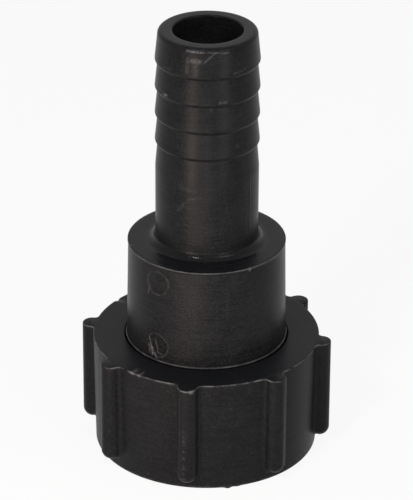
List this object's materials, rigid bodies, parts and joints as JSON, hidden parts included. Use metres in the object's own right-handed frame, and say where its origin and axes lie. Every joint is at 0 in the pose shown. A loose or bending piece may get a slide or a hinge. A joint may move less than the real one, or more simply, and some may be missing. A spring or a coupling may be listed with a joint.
{
  "type": "drum thread adapter",
  "caption": "Black plastic adapter with a ribbed swivel nut, coarse internal drum thread, round collar and barbed hose tail with a through bore.",
  "frame": {"origin": "centre of the nut's open end, on the common axis, at the level that the part stands on", "axes": "+Z along the axis from the nut's open end up to the end of the hose tail; -Y points through one of the nut's grip ribs, +X to the right of it seen from that side"},
  "size_m": [0.078, 0.078, 0.1379],
  "materials": {
    "nut_plastic": "satin moulded",
    "tail_plastic": "satin moulded",
    "gasket_rubber": "matt"
  },
  "bodies": {
    "tail": {"hose_tail": "tail_plastic", "flat_gasket": "gasket_rubber"},
    "nut": {"union_nut": "nut_plastic"}
  },
  "joints": [
    {"name": "nut_spin", "type": "hinge", "parent": "tail", "child": "nut", "pos_m": [0, 0, 0], "axis": [0, 0, 1], "continuous": true}
  ]
}
